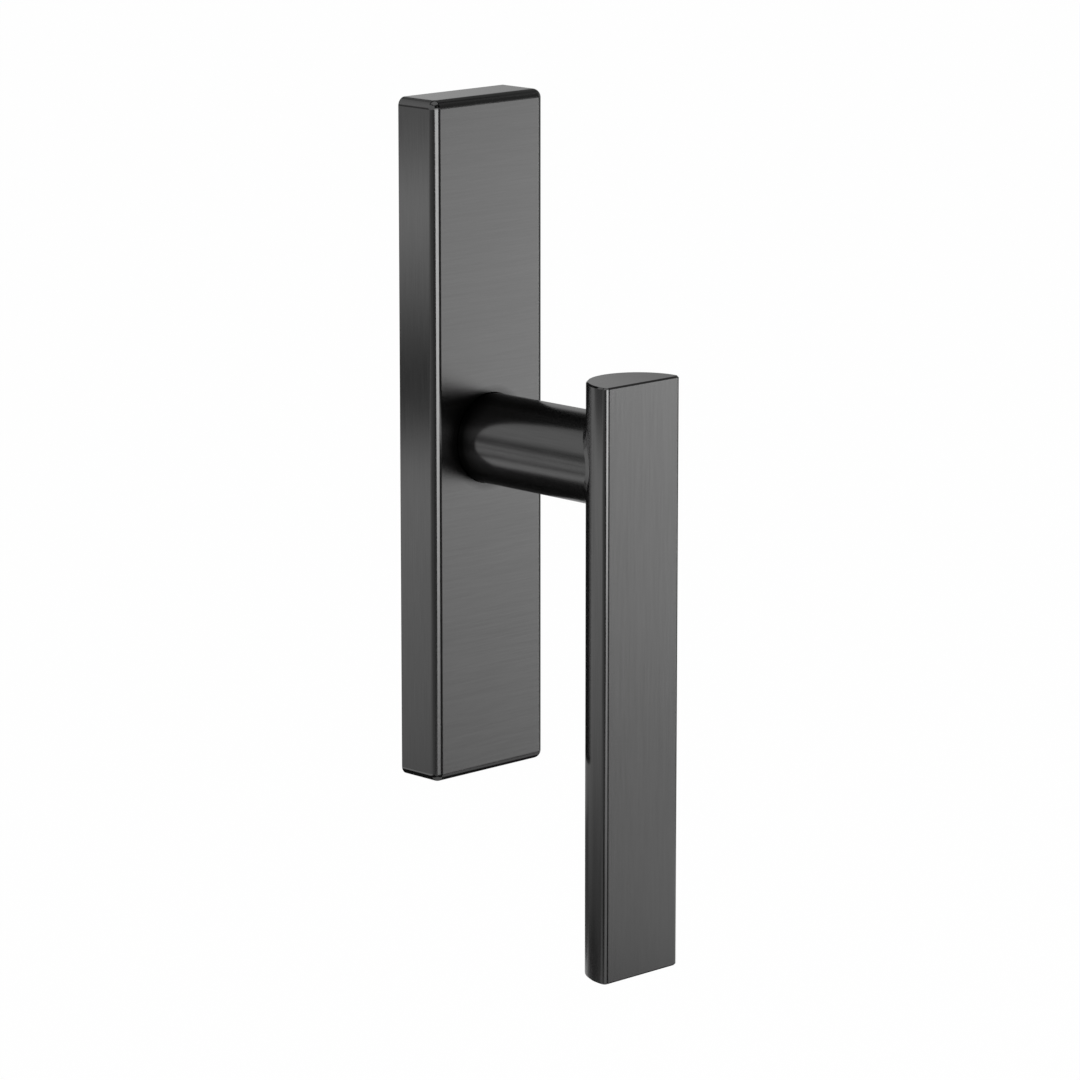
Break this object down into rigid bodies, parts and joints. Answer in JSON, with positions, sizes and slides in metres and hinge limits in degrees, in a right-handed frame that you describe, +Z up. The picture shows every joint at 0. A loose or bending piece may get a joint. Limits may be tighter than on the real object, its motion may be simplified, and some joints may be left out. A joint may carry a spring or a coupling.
{
  "type": "window handle",
  "caption": "Straight bar window handle on a long plain backplate; turning it a quarter drives the drive pins behind the plate through a pinion and racks.",
  "frame": {"origin": "where the lever's axis meets the sash, at the middle of the plate's rear face", "axes": "+Z up along the plate, -Y towards the room, +Y into the sash, +X to the right seen from the room"},
  "size_m": [0.035, 0.074, 0.1994],
  "materials": {
    "brushed_anthracite": "finely brushed, dark anthracite plating",
    "zinc_plated_steel": "bright zinc plating",
    "cast_zinc": "as-cast zinc alloy, matt",
    "nylon": "moulded natural nylon"
  },
  "bodies": {
    "plate": {"cover_plate": "brushed_anthracite", "housing": "cast_zinc", "rear_plate": "zinc_plated_steel", "rear_plate_screws": "zinc_plated_steel", "fixing_screws": "zinc_plated_steel", "guide_bush": "nylon", "thrust_washer": "nylon", "friction_ring": "nylon", "upper_cover_clip": "zinc_plated_steel", "lower_cover_clip": "zinc_plated_steel"},
    "handle": {"lever": "brushed_anthracite", "spindle": "zinc_plated_steel", "retaining_ring": "zinc_plated_steel", "grub_screw": "zinc_plated_steel", "pinion": "zinc_plated_steel"},
    "upper_slide": {"upper_rack": "zinc_plated_steel", "upper_drive_pin": "zinc_plated_steel"},
    "lower_slide": {"lower_rack": "zinc_plated_steel", "lower_drive_pin": "zinc_plated_steel"}
  },
  "joints": [
    {"name": "handle_turn", "type": "hinge", "parent": "plate", "child": "handle", "pos_m": [0, 0, 0], "axis": [0, -1, 0], "range_deg": [0, 90]},
    {"name": "upper_rack_slide", "type": "slide", "parent": "plate", "child": "upper_slide", "axis": [0, 0, -1], "range_m": [0, 0.0165]},
    {"name": "lower_rack_slide", "type": "slide", "parent": "plate", "child": "lower_slide", "axis": [0, 0, 1], "range_m": [0, 0.0165]}
  ],
  "couplings": [
    {"joint": "upper_rack_slide", "follows": "handle_turn", "m_per_rad": 0.0105},
    {"joint": "lower_rack_slide", "follows": "handle_turn", "m_per_rad": 0.0105}
  ]
}
